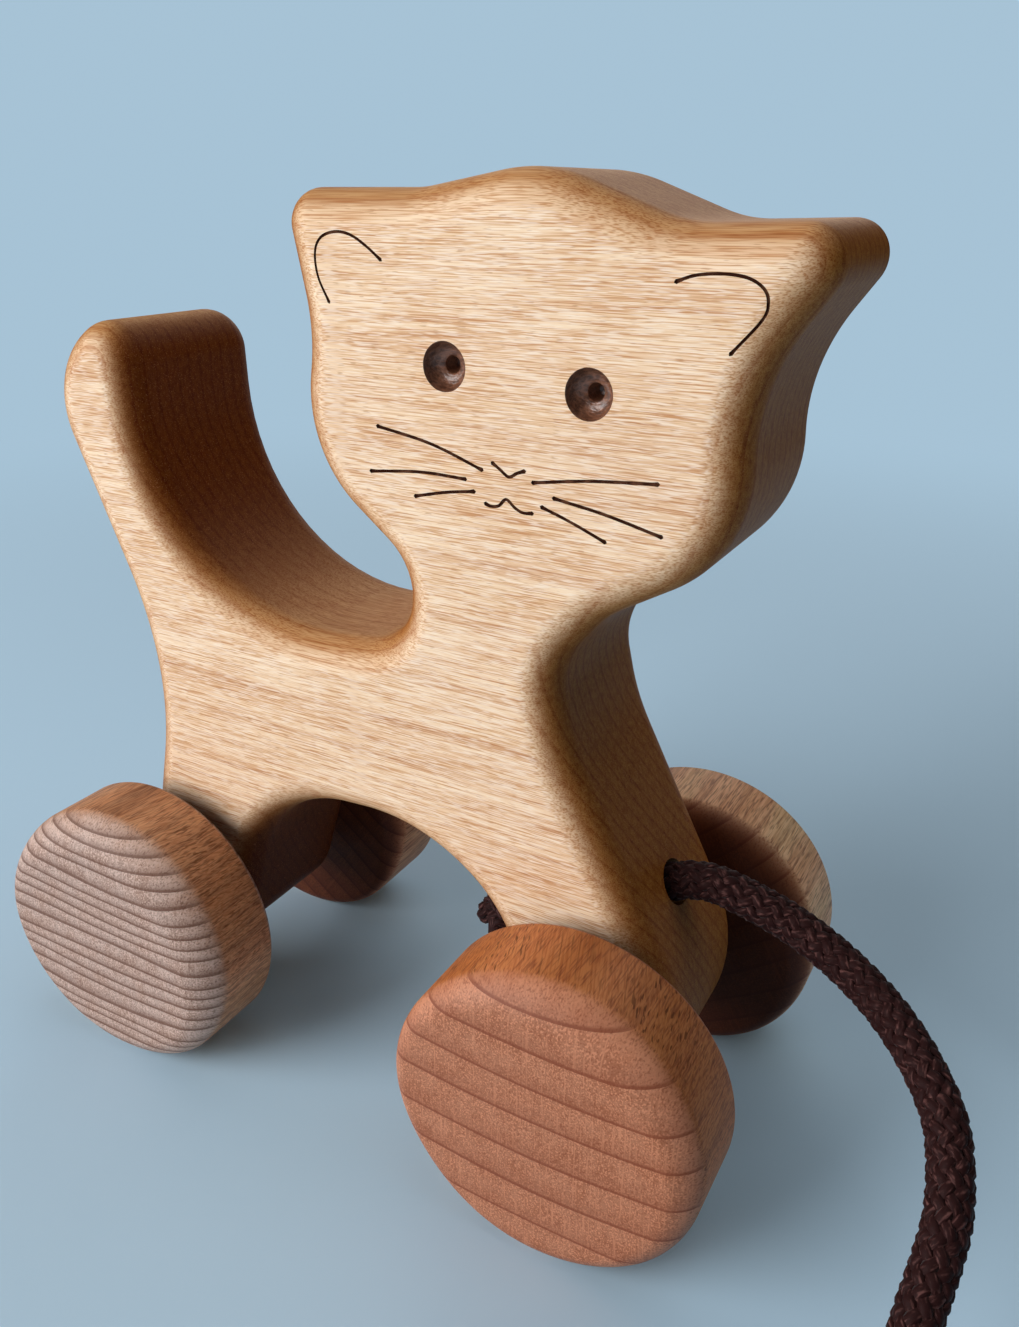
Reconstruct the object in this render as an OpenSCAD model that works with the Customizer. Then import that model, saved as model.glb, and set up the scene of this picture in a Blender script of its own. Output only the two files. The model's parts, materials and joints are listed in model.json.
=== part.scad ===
// Wooden pull-along cat on four wheels, with a braided pull cord.
// X points the way the toy is pulled, Z is up, and the floor is at Z = 0.
// The drawn and drilled face is on the -Y side.

/* [Wheels] */
// Diameter of each wheel
wheel_d = 40; // [34:0.5:44]
// Width of each wheel along its axle
wheel_w = 14; // [11:0.5:18]
// Rounding of the wheel's two rims
wheel_edge_r = 2; // [0.5:0.25:4]
// Distance between the two axles
wheel_base = 70; // [64:0.5:78]
// Side gap between the body and a wheel
wheel_gap = 2.5; // [1:0.25:4]

/* [Axles] */
// Diameter of the dowel that joins two wheels
axle_d = 8; // [5:0.5:10]
// Running clearance round the dowel in the body, on the radius
axle_clearance = 0.1; // [0.02:0.02:0.1]
// Depth of the blind socket in a wheel
socket_depth = 9; // [6:0.5:10]
// Glue line round the dowel in a wheel, on the radius
glue_gap = 0.05; // [0.02:0.01:0.1]
// Rounding of the dowel's ends
axle_edge_r = 0.8; // [0.3:0.1:1.5]

/* [Body] */
// Thickness of the board that the cat is sawn from
body_t = 26; // [22:0.5:30]
// Round-over along every edge of the board
edge_r = 4.5; // [2.5:0.25:5.25]

/* [Legs and belly] */
// Reach of all feet below the axle line
foot_drop = 9.5; // [8.5:0.5:12]
// Rounding of the corners of the feet
foot_r = 10; // [6:0.5:11]
// Back of the rear foot, behind the rear axle
heel_out = 11.5; // [10:0.5:13]
// Front of the rear foot, ahead of the rear axle
rear_foot_in = 8; // [7:0.5:10]
// Front of the front foot, ahead of the front axle
toe_out = 7; // [6.5:0.5:9.5]
// Back of the front foot, behind the front axle
front_foot_in = 9.5; // [8.5:0.5:11]
// Knee of the front leg, ahead of the front axle
knee_out = 11.5; // [10:0.5:14]
// Height of the knee above the axle line
knee_up = 6; // [3:0.5:9]
// Rounding of the knee
knee_r = 22.5; // [14:0.5:24]
// Front corner of the belly arch, behind the front axle
arch_front_in = 14.5; // [12.5:0.5:16]
// Height of the arch's front corner above the axle line
arch_front_up = 14.5; // [12:0.5:16]
// Rounding of the arch's front corner
arch_front_r = 18; // [14:0.5:18]
// Top corner of the belly arch, behind the front axle
arch_top_in = 27.5; // [25:0.5:30]
// Height of the arch's top corner above the axle line
arch_top_up = 23.5; // [22:0.5:26]
// Rounding of the arch's top corner
arch_top_r = 23.5; // [18:0.5:26]
// Rear corner of the belly arch, ahead of the rear axle
arch_rear_in = 17.5; // [16:0.5:21]
// Height of the arch's rear corner above the axle line
arch_rear_up = 22; // [20:0.5:24]
// Rounding of the arch's rear corner
arch_rear_r = 19.5; // [15:0.5:20]
// Hollow of the chest, behind the front axle
chest_in = 5.5; // [3:0.5:7]
// Height of the hollow of the chest above the axle line
chest_up = 39; // [36:0.5:42]
// Rounding of the hollow of the chest
chest_r = 30.5; // [20:0.5:40]

/* [Back and tail] */
// Hollow of the rump, ahead of the rear axle
rump_in = 0; // [-3:0.5:3]
// Height of the hollow of the rump above the axle line
rump_up = 37.5; // [33:0.5:41]
// Rounding of the hollow of the rump
rump_r = 44.5; // [30:0.5:60]
// Outer corner of the tail, behind the rear axle
tail_out = 16.5; // [15:0.5:19]
// Height of the tail's outer corner above the axle line
tail_outer_up = 78; // [74:0.5:81]
// Rounding of the tail's outer corner
tail_outer_r = 12; // [8:0.5:13]
// Inner corner of the tail, ahead of the rear axle
tail_inner_in = 0.5; // [-1:0.5:3]
// Height of the tail's inner corner above the axle line
tail_inner_up = 89; // [84:0.5:91]
// Rounding of the tail's inner corner
tail_inner_r = 5.5; // [4:0.5:6.5]
// Deepest corner of the saddle, ahead of the rear axle
saddle_in = 1.5; // [-0.5:0.5:3.5]
// Height of the saddle's deepest corner above the axle line
saddle_up = 44.5; // [42:0.5:48]
// Rounding where the saddle sweeps up into the tail
saddle_r = 27.5; // [20:0.5:29]

/* [Head] */
// Notch under the rear jaw, behind the front axle
nape_back = 16; // [14:0.5:19]
// Height of that notch above the axle line
nape_up = 50; // [48:0.5:53]
// Rounding of that notch
nape_r = 7.5; // [5:0.5:10]
// Rear jaw, behind the front axle
jaw_back = 42.5; // [40:0.5:45]
// Height of the rear jaw above the axle line
jaw_up = 71; // [68:0.5:74]
// Rounding of the rear jaw
jaw_r = 16.5; // [10:0.5:18]
// Rear temple, behind the front axle
rear_temple_back = 40; // [38:0.5:42]
// Height of the rear temple above the axle line
rear_temple_up = 85.5; // [83:0.5:89]
// Rear ear tip, behind the front axle
rear_ear_back = 43; // [41:0.5:46]
// Height of the rear ear tip above the axle line
rear_ear_up = 100.5; // [98:0.5:105]
// Dip beside the rear ear, behind the front axle
rear_brow_back = 25; // [23:0.5:29]
// Height of the dip beside the rear ear above the axle line
rear_brow_up = 100.5; // [97:0.5:102]
// Crown of the head, behind the front axle
crown_back = 10.5; // [8:0.5:14]
// Height of the crown above the axle line
crown_up = 103; // [101:0.5:106]
// Rounding of the crown
crown_r = 19; // [14:0.5:26]
// Dip beside the front ear, ahead of the front axle
front_brow_out = 4.5; // [2:0.5:7]
// Height of the dip beside the front ear above the axle line
front_brow_up = 97.5; // [95:0.5:99]
// Rounding of both dips
brow_r = 15; // [10:0.5:20]
// Front ear tip, ahead of the front axle
front_ear_out = 23; // [19:0.5:24]
// Height of the front ear tip above the axle line
front_ear_up = 98; // [95:0.5:102]
// Rounding of both ear tips
ear_tip_r = 3.5; // [2:0.5:5]
// Front temple, ahead of the front axle
front_temple_out = 12.5; // [11:0.5:15]
// Height of the front temple above the axle line
front_temple_up = 83; // [80:0.5:86]
// Rounding of both temples
temple_r = 21.5; // [15:0.5:23]
// Front cheek, ahead of the front axle
cheek_out = 13.5; // [12:0.5:16]
// Height of the front cheek above the axle line
cheek_up = 66; // [63:0.5:69]
// Rounding of the front cheek
cheek_r = 15.5; // [10:0.5:16]
// Chin, behind the front axle
chin_back = 2; // [0.5:0.5:3.5]
// Height of the chin above the axle line
chin_up = 57; // [55:0.5:59]
// Rounding of the chin
chin_r = 12; // [6:0.5:20]
// Notch of the throat, behind the front axle
throat_back = 8; // [6.5:0.5:9.5]
// Height of the notch of the throat above the axle line
throat_up = 50; // [48:0.5:52]
// Rounding of the notch of the throat
throat_r = 9.5; // [6:0.5:12]

/* [Eyes] */
// Diameter of a drilled eye
eye_d = 5.5; // [4:0.25:8]
// Depth of a drilled eye
eye_depth = 2.2; // [1:0.1:4]
// Diameter of the drill point's mark in an eye
eye_point_d = 2.2; // [1:0.1:3]
// Depth of the drill point's mark below the eye's floor
eye_point_depth = 1; // [0.4:0.1:2]
// Rear eye, behind the front axle
rear_eye_back = 20.5; // [18:0.5:23]
// Height of the rear eye above the axle line
rear_eye_up = 83; // [79:0.5:87]
// Front eye, behind the front axle
front_eye_back = 3.5; // [0:0.5:6]
// Height of the front eye above the axle line
front_eye_up = 81.5; // [78:0.5:86]

/* [Cord] */
// Diameter of the braided cord
cord_d = 5; // [3:0.25:5.5]
// Diameter of the hole through the front leg
cord_hole_d = 6; // [5.8:0.1:8]
// Middle of the hole, behind the front axle
cord_hole_back = 3.5; // [2:0.5:6]
// Height of the middle of the hole above the axle line
cord_hole_up = 14.5; // [13:0.5:17]
// Upward slant of the hole towards the chest, in degrees
cord_hole_tilt = 27; // [20:1:32]
// Diameter of the stopper knot behind the front leg
knot_d = 11; // [9:0.5:13]
// Length of the stopper knot along the hole
knot_len = 9.5; // [8:0.5:11]
// Room between the stopper knot and the arch, along the hole
knot_seat_gap = 0.7; // [0.5:0.1:1]
// Diameter of the knot at the cord's far end
end_knot_d = 11; // [8:0.5:12]
// Length of the knot at the cord's far end
end_knot_len = 11; // [8:0.5:14]

/* [Coil] */
// Diameter of the put-away coil at the middle of its turns
coil_mid_d = 50; // [48:0.5:56]
// Number of turns side by side in the coil
coil_turns = 2.5; // [2:0.25:3]
// Thickness of the twine that ties the coil
tie_t = 1.5; // [1:0.1:2.5]
// Width of the tie's few wraps of twine
tie_w = 4.5; // [3:0.5:8]
// Slack between the tie and the coil
tie_slack = 0.2; // [0.1:0.05:0.5]

/* [Hidden] */
$fn = 72;

// Colours of the woods, the cord and the twine
body_colour = "#d8ae78";
wheel_colour = "#b98562";
axle_colour = "#c79d70";
cord_colour = "#3a2320";
tie_colour = "#a58a63";

// Axle line and the sides of the body
axle_z = wheel_d / 2;
front_x = wheel_base / 2;
rear_x = -front_x;
side_y = body_t / 2;
wheel_y = side_y + wheel_gap;
axle_len = 2 * (wheel_y + socket_depth);
foot_z = axle_z - foot_drop;

// Extra length of a cutter past the face that it leaves
cut_past = 1;
// Most that a facet may stray from the curve that it stands for
chord_error = 0.08;
// Facets across the round-over and across a small rounding
round_steps = 5;
// Rounding left at a corner that the round-over has used up
used_up_r = 0.3;
// Straight stretch left on an edge between two roundings
least_straight = 0.3;

// Corners of the cat's outline in X and Z, each with its rounding.
// They run clockwise as seen from the face, from the heel of the rear foot.
outline = [
    [rear_x - heel_out, foot_z, foot_r],
    [rear_x + rump_in, axle_z + rump_up, rump_r],
    [rear_x - tail_out, axle_z + tail_outer_up, tail_outer_r],
    [rear_x + tail_inner_in, axle_z + tail_inner_up, tail_inner_r],
    [rear_x + saddle_in, axle_z + saddle_up, saddle_r],
    [front_x - nape_back, axle_z + nape_up, nape_r],
    [front_x - jaw_back, axle_z + jaw_up, jaw_r],
    [front_x - rear_temple_back, axle_z + rear_temple_up, temple_r],
    [front_x - rear_ear_back, axle_z + rear_ear_up, ear_tip_r],
    [front_x - rear_brow_back, axle_z + rear_brow_up, brow_r],
    [front_x - crown_back, axle_z + crown_up, crown_r],
    [front_x + front_brow_out, axle_z + front_brow_up, brow_r],
    [front_x + front_ear_out, axle_z + front_ear_up, ear_tip_r],
    [front_x + front_temple_out, axle_z + front_temple_up, temple_r],
    [front_x + cheek_out, axle_z + cheek_up, cheek_r],
    [front_x - chin_back, axle_z + chin_up, chin_r],
    [front_x - throat_back, axle_z + throat_up, throat_r],
    [front_x - chest_in, axle_z + chest_up, chest_r],
    [front_x + knee_out, axle_z + knee_up, knee_r],
    [front_x + toe_out, foot_z, foot_r],
    [front_x - front_foot_in, foot_z, foot_r],
    [front_x - arch_front_in, axle_z + arch_front_up, arch_front_r],
    [front_x - arch_top_in, axle_z + arch_top_up, arch_top_r],
    [rear_x + arch_rear_in, axle_z + arch_rear_up, arch_rear_r],
    [rear_x + rear_foot_in, foot_z, foot_r]
];
corners = len(outline);

// Edge i runs from corner i to the next one
function corner(i) = outline[(i + corners) % corners];
function place(i) = [corner(i).x, corner(i).y];
function edge_len(i) = norm(place(i + 1) - place(i));
function edge_angle(i) =
    let (run = place(i + 1) - place(i))
    atan2(run.y, run.x);
function outward(i) = [-sin(edge_angle(i)), cos(edge_angle(i))];
function half_circle(a) = a - 360 * round(a / 360);
function turn(i) = half_circle(edge_angle(i) - edge_angle(i - 1));

// A tip that is rounded less than the round-over keeps a ridge, which runs in along its two edges
function is_tip(i) = turn(i) < 0 && corner(i).z < edge_r + used_up_r;
function ridge_len(i) = is_tip(i) ? (edge_r + used_up_r) * tan(abs(turn(i)) / 2) : 0;
// A rounding uses this much of each of its two edges, and gives way where they are short
function tangent_len(i) = is_tip(i) ? 0 : corner(i).z * tan(abs(turn(i)) / 2);
function shared(i) =
    (edge_len(i) - ridge_len(i) - ridge_len(i + 1) - least_straight)
    / (tangent_len(i) + tangent_len(i + 1));
function eased(i) = is_tip(i) ? 1 : min(1, shared(i - 1), shared(i));
// Rounding of a corner, positive where the outline bulges and negative where it is hollow
function rounding(i) = -sign(turn(i)) * corner(i).z * eased(i);
function mitre(i) =
    let (a = outward(i - 1), b = outward(i))
    (a + b) / (1 + a * b);
function inset_rounding(i, inset) =
    rounding(i) > 0 ? max(rounding(i) - inset, used_up_r) : rounding(i) - inset;
function facets(i) =
    let (step = 2 * acos(1 - chord_error / abs(rounding(i))))
    max(2, ceil(abs(turn(i)) / step));

// The outline moved inwards by inset, with as many points for every inset
function inset_outline(inset) = [
    for (i = [0:corners - 1])
        let (n = facets(i), q = inset_rounding(i, inset), middle = place(i) - mitre(i) * (inset + q))
            for (k = [0:n])
                let (a = edge_angle(i - 1) + 90 + turn(i) * k / n)
                    middle + q * [cos(a), sin(a)]
];

// Rings of the board from the face side to the far side: inset and Y
near_rings = [
    for (k = [0:round_steps])
        let (a = 90 * k / round_steps)
            [edge_r * (1 - sin(a)), edge_r * (1 - cos(a)) - side_y]
];
far_rings = [for (k = [round_steps:-1:0]) [near_rings[k].x, -near_rings[k].y]];
rings = concat(near_rings, far_rings);

// Triangles of a flat outline that runs clockwise: its ears are cut off one at a time.
// The list of corners left starts again past each ear, so that the cuts go round evenly.
function in_ear(p, a, b, c) =
    cross(b - a, p - a) <= 0 && cross(c - b, p - b) <= 0 && cross(a - c, p - c) <= 0;
function is_ear(flat, left) =
    let (a = flat[left[0]], b = flat[left[1]], c = flat[left[2]])
    cross(b - a, c - b) < 0
    && len([for (k = [3:len(left) - 1]) if (in_ear(flat[left[k]], a, b, c)) k]) == 0;
function rest_of(list, first) = [for (k = [first:len(list) - 1]) list[k]];
function cut_ears(flat, left, done = []) =
    len(left) == 3 ? concat(done, [left])
    : is_ear(flat, left)
        ? cut_ears(flat, concat(rest_of(left, 2), [left[0]]), concat(done, [[left[0], left[1], left[2]]]))
        : cut_ears(flat, concat(rest_of(left, 1), [left[0]]), done);
function cap(flat) = cut_ears(flat, [for (i = [0:len(flat) - 1]) i]);

// Faces of a skin over rings of n points each, closed at both ends by copies of a cap
function skin(n, count, end) = concat(
    end,
    [
        for (j = [0:count - 2], i = [0:n - 1])
            let (a = j * n + i, b = j * n + (i + 1) % n)
                each [[a, a + n, b + n], [a, b + n, b]]
    ],
    [for (f = end) [for (k = [len(f) - 1:-1:0]) (count - 1) * n + f[k]]]
);

// The hole's own line: its middle, its direction and where it meets the outline
hole_middle = [front_x - cord_hole_back, axle_z + cord_hole_up];
hole_dir = [cos(cord_hole_tilt), sin(cord_hole_tilt)];
sawn_outline = inset_outline(0);
hole_hits = [
    for (i = [0:len(sawn_outline) - 1])
        let (
            p = sawn_outline[i] - hole_middle,
            q = sawn_outline[(i + 1) % len(sawn_outline)] - hole_middle,
            side_p = cross(hole_dir, p),
            side_q = cross(hole_dir, q)
        )
            if (side_p * side_q < 0)
                (p + (q - p) * side_p / (side_p - side_q)) * hole_dir
];
chest_reach = min([for (t = hole_hits) if (t > 0) t]);
arch_reach = -max([for (t = hole_hits) if (t < 0) t]);
knot_reach = arch_reach + knot_seat_gap;
function on_hole(t) = [hole_middle.x + t * hole_dir.x, 0, hole_middle.y + t * hole_dir.y];

// Rounding of the two knots' ends
knot_round_r = 4;

// The coil lies on its tie, with its turns side by side about their middle line
coil_middle = [47.5, -76];
coil_w = coil_turns * cord_d;
coil_in_r = (coil_mid_d - coil_w) / 2;
coil_out_r = (coil_mid_d + coil_w) / 2;
coil_round_r = 2;
tie_angle = 215;
tie_round_r = 1;

// The knot at the far end lies inside the coil, against its inner turn
end_knot_gap = 0.3;
end_knot_angle = 114;
end_knot_heading = 15;
end_knot_r = coil_in_r - end_knot_gap - end_knot_d / 2;
end_knot_middle = coil_middle + end_knot_r * [cos(end_knot_angle), sin(end_knot_angle)];

// Route of the cord: from the knot through the hole, out in a drooping bend and down to the coil
cord_out = 1.5;
cord_route = concat(
    [on_hole(-knot_reach), on_hole(chest_reach + cord_out)],
    [
        [45, 0, 40.2],
        [50, 0, 39.3],
        [55, 0, 37.8],
        [60, -1, 36.2],
        [65, -3, 34.5],
        [69.5, -6, 32.9],
        [73.5, -10, 31.2],
        [76.5, -14, 29.2],
        [78, -18, 27],
        [78.8, -22.5, 24.4],
        [78.5, -27, 21.4],
        [78, -32, 18.3],
        [78, -37, 15.2],
        [78.2, -43, 11.9],
        [78.4, -50, 8.5],
        [78.5, -57.5, 5.7],
        [78.5, -65, 4]
    ]
);
cord_sides = 12;
function route_dir(i) =
    let (a = cord_route[max(i - 1, 0)], b = cord_route[min(i + 1, len(cord_route) - 1)])
    (b - a) / norm(b - a);
function level_side(d) = cross(d, [0, 0, 1]) / norm(cross(d, [0, 0, 1]));

// Points of a turned piece's half section: its length runs up from zero, with both ends rounded
function turned(d, len, r) =
    let (round_off = [for (k = [0:round_steps]) let (a = 90 * k / round_steps) r * [1 - sin(a), 1 - cos(a)]])
    concat(
        [[0, 0]],
        [for (k = [0:round_steps]) [d / 2 - round_off[k].x, round_off[k].y]],
        [for (k = [round_steps:-1:0]) [d / 2 - round_off[k].x, len - round_off[k].y]],
        [[0, len]]
    );

// Corner points of a rectangle with rounded corners, from its low corner to its high corner
function rounded_box(low, high, r) = [
    for (c = [0:3], k = [0:round_steps])
        let (
            a = 90 * (c + k / round_steps),
            x = c == 0 || c == 3 ? high.x - r : low.x + r,
            z = c < 2 ? high.y - r : low.y + r
        )
            [x + r * cos(a), z + r * sin(a)]
];

module sawn_board() {
    flat_face = inset_outline(edge_r);
    points = [for (g = rings, p = inset_outline(g.x)) [p.x, g.y, p.y]];
    polyhedron(points, skin(len(flat_face), len(rings), cap(flat_face)));
}

module axle_bore(x) {
    translate([x, 0, axle_z])
        rotate([90, 0, 0])
            cylinder(d = axle_d + 2 * axle_clearance, h = body_t + 2 * cut_past, center = true);
}

module cord_bore() {
    bore_len = chest_reach + arch_reach + 2 * cord_hole_d;
    translate(on_hole(-arch_reach - cord_hole_d))
        rotate([0, 90 - cord_hole_tilt, 0])
            cylinder(d = cord_hole_d, h = bore_len);
}

module drilled_eye(back, up) {
    r = eye_d / 2;
    point_r = eye_point_d / 2;
    translate([front_x - back, -side_y, axle_z + up])
        rotate([-90, 0, 0])
            rotate_extrude()
                polygon([
                    [0, -cut_past],
                    [r, -cut_past],
                    [r, eye_depth],
                    [point_r, eye_depth],
                    [0, eye_depth + eye_point_depth]
                ]);
}

module cat_body() {
    color(body_colour)
        difference() {
            sawn_board();
            axle_bore(front_x);
            axle_bore(rear_x);
            cord_bore();
            drilled_eye(rear_eye_back, rear_eye_up);
            drilled_eye(front_eye_back, front_eye_up);
        }
}

module axle(x) {
    color(axle_colour)
        translate([x, -axle_len / 2, axle_z])
            rotate([-90, 0, 0])
                rotate_extrude()
                    polygon(turned(axle_d, axle_len, axle_edge_r));
}

// A turned wheel with a blind socket in its inner face; side is 1 on the left and -1 on the right
module wheel(x, side) {
    color(wheel_colour)
        translate([x, side * wheel_y, axle_z])
            rotate([-90 * side, 0, 0])
                difference() {
                    rotate_extrude()
                        polygon(turned(wheel_d, wheel_w, wheel_edge_r));
                    translate([0, 0, -cut_past])
                        cylinder(d = axle_d + 2 * glue_gap, h = socket_depth + cut_past);
                }
}

module front_axle() {
    axle(front_x);
}

module front_left_wheel() {
    wheel(front_x, 1);
}

module front_right_wheel() {
    wheel(front_x, -1);
}

module rear_axle() {
    axle(rear_x);
}

module rear_left_wheel() {
    wheel(rear_x, 1);
}

module rear_right_wheel() {
    wheel(rear_x, -1);
}

// The knot that keeps the cord from slipping out, drawn up against the arch
module stopper_knot() {
    color(cord_colour)
        translate(on_hole(-knot_reach - knot_len))
            rotate([0, 90 - cord_hole_tilt, 0])
                rotate_extrude()
                    polygon(turned(knot_d, knot_len, knot_round_r));
}

module pull_cord() {
    points = [
        for (i = [0:len(cord_route) - 1])
            let (d = route_dir(i), side = level_side(d), up = cross(side, d))
                for (k = [0:cord_sides - 1])
                    let (a = 360 * k / cord_sides)
                        cord_route[i] + cord_d / 2 * (cos(a) * side + sin(a) * up)
    ];
    color(cord_colour)
        polyhedron(points, skin(cord_sides, len(cord_route), [[for (k = [0:cord_sides - 1]) k]]));
}

module cord_coil() {
    color(cord_colour)
        translate([coil_middle.x, coil_middle.y, 0])
            rotate_extrude()
                polygon(rounded_box([coil_in_r, tie_t], [coil_out_r, tie_t + cord_d], coil_round_r));
}

module coil_tie() {
    low = [coil_in_r - tie_slack, tie_t];
    high = [coil_out_r + tie_slack, tie_t + cord_d + tie_slack];
    wall = [tie_t, tie_t];
    color(tie_colour)
        translate([coil_middle.x, coil_middle.y, 0])
            rotate([90, 0, tie_angle])
                difference() {
                    linear_extrude(tie_w, center = true)
                        polygon(rounded_box(low - wall, high + wall, tie_round_r + tie_t));
                    linear_extrude(tie_w + 2 * cut_past, center = true)
                        polygon(rounded_box(low, high, tie_round_r));
                }
}

module cord_end_knot() {
    color(cord_colour)
        translate([end_knot_middle.x, end_knot_middle.y, end_knot_d / 2])
            rotate([90, 0, 90 + end_knot_heading])
                translate([0, 0, -end_knot_len / 2])
                    rotate_extrude()
                        polygon(turned(end_knot_d, end_knot_len, knot_round_r));
}

cat_body();
front_axle();
front_left_wheel();
front_right_wheel();
rear_axle();
rear_left_wheel();
rear_right_wheel();
stopper_knot();
pull_cord();
cord_coil();
coil_tie();
cord_end_knot();
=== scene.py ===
"""Looks of a wooden pull-along cat: sawn body, turned wheels, braided cord with knots, and stage.

Lengths are in millimetres where a name ends in _MM or a comment says so, and in metres elsewhere.
The toy is pulled along +X, Z is up, and the drawn and drilled face is on the -Y side.
"""

import json
import math

import bpy
import numpy as np
from mathutils import Matrix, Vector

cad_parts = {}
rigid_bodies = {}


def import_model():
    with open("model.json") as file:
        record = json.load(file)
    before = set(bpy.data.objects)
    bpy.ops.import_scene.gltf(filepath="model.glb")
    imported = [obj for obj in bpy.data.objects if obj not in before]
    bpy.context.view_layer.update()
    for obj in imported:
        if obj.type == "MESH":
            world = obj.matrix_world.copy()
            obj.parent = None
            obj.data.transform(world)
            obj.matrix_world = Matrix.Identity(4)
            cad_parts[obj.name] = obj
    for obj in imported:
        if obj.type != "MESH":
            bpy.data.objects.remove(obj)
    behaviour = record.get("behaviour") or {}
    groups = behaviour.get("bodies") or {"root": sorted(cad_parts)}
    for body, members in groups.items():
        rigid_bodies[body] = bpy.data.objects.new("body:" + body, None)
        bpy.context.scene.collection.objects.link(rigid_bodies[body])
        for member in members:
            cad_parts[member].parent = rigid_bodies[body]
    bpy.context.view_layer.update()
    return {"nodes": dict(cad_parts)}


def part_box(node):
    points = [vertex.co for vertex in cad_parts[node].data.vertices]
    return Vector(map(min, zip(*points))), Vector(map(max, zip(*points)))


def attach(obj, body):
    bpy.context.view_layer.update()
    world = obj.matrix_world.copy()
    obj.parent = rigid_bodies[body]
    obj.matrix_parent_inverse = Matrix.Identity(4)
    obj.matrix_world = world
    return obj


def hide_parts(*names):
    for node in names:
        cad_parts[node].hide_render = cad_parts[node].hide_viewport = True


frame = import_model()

bl_info = {
    "name": "Wooden pull-along cat",
    "version": (1, 0, 0),
    "blender": (4, 5, 0),
    "location": "View3D > Sidebar > Pull cat",
    "description": "Dresses the solids of a pull-along cat in oiled wood and braided cord",
    "category": "Object",
}

MM = 0.001

# Corners of the cat's outline in X and Z with their roundings, from the heel of the rear foot,
# clockwise as seen from the face: rear leg, tail, saddle, head, chest, front leg and belly arch
OUTLINE_MM = np.array(
    [
        (-46.5, 10.5, 10.0), (-35.0, 57.5, 44.5), (-51.5, 98.0, 12.0), (-34.5, 109.0, 5.5),
        (-33.5, 64.5, 27.5), (19.0, 70.0, 7.5), (-7.5, 91.0, 16.5), (-5.0, 105.5, 21.5),
        (-8.0, 120.5, 3.5), (10.0, 120.5, 15.0), (24.5, 123.0, 19.0), (39.5, 117.5, 15.0),
        (58.0, 118.0, 3.5), (47.5, 103.0, 21.5), (48.5, 86.0, 15.5), (33.0, 77.0, 12.0),
        (27.0, 70.0, 9.5), (29.5, 59.0, 30.5), (46.5, 26.0, 22.5), (42.0, 10.5, 10.0),
        (25.5, 10.5, 10.0), (20.5, 34.5, 18.0), (7.5, 43.5, 23.5), (-17.5, 42.0, 19.5),
        (-27.0, 10.5, 10.0),
    ]
)
BOARD_MM = 26.0
# Height of the toy's middle, in metres
TOY_MIDDLE = 0.06
ROUND_OVER_MM = 4.5
# Sanding keeps this much rounding on a tip that the round-over would bring to a ridge
TIP_SOFTNESS_MM = 1.6
# Edges that turn by more than this look sharp
SHARP = math.radians(38)
# Corners rounded less than this count as tips, and an edge keeps SPARE_MM between its roundings
SPARE_MM = 0.3
TIP_MM = ROUND_OVER_MM + SPARE_MM

# Burnt lines of the face as points in X and Z: ear arcs, whiskers, nose and mouth
FACE_LINES_MM = [
    [
        (-0.2, 108.7), (-1.6, 111.5), (-1.8, 114.0), (-0.9, 115.5),
        (1.1, 116.1), (3.1, 115.8), (5.1, 114.7), (7.0, 113.3),
    ],
    [
        (39.8, 112.4), (41.9, 113.1), (44.6, 113.3), (46.9, 113.0),
        (48.4, 112.1), (48.8, 110.9), (48.3, 109.4), (45.6, 106.2),
    ],
    [(5.3, 95.9), (12.6, 94.6), (19.3, 92.4)],
    [(4.1, 90.6), (11.2, 91.3), (17.2, 91.2)],
    [(10.1, 88.4), (14.4, 89.4), (18.3, 90.0)],
    [(25.1, 91.8), (32.0, 92.8), (39.6, 93.4)],
    [(27.6, 90.5), (33.8, 89.5), (40.3, 88.0)],
    [(26.2, 89.4), (29.8, 88.2), (34.1, 86.5)],
    [(20.2, 93.5), (21.3, 92.8), (22.4, 92.1), (23.4, 92.6), (24.5, 93.0)],
    [
        (19.3, 88.9), (20.2, 88.6), (21.2, 88.8), (22.1, 89.6), (23.2, 88.8), (24.2, 88.4),
        (25.5, 88.5),
    ],
]
EAR_ARCS = 2
EYES_MM = [(14.5, 103.0), (31.5, 101.5)]
# An eye's recess as radius and depth, from above the face down to the drill point's pit
EYE_MM = [
    (0.2, -1.0), (2.8, -1.0), (2.66, 0.0), (2.58, 0.12), (2.48, 0.5), (2.25, 1.0), (1.9, 1.38),
    (1.5, 1.6), (1.1, 1.7), (0.95, 1.85), (0.82, 3.1), (0.5, 3.7), (0.2, 3.8),
]
AXLES_MM = {"front": (35.0, 20.0), "rear": (-35.0, 20.0)}
AXLE_BORE_MM = 8.2

# The hole for the cord runs through the front leg on this line, in X and Z
HOLE_MIDDLE_MM = np.array([31.5, 0.0, 34.5])
HOLE_TILT = math.radians(27)
HOLE_AXIS = np.array([math.cos(HOLE_TILT), 0.0, math.sin(HOLE_TILT)])
HOLE_MM = 6.0
# Reach of the hole from its middle to the chest and, with the knot's seat, to the knot
CHEST_REACH_MM = 9.5
KNOT_REACH_MM = 11.96

# Route of the free cord from the chest down to the coil
ROUTE_MM = np.array(
    [
        (45, 0, 40.2), (50, 0, 39.3), (55, 0, 37.8), (60, -1, 36.2), (65, -3, 34.5),
        (69.5, -6, 32.9), (73.5, -10, 31.2), (76.5, -14, 29.2), (78, -18, 27), (78.8, -22.5, 24.4),
        (78.5, -27, 21.4), (78, -32, 18.3), (78, -37, 15.2), (78.2, -43, 11.9), (78.4, -50, 8.5),
        (78.5, -57.5, 5.7), (78.5, -65, 4),
    ],
    float,
)
CORD_MM = 5.0
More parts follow.
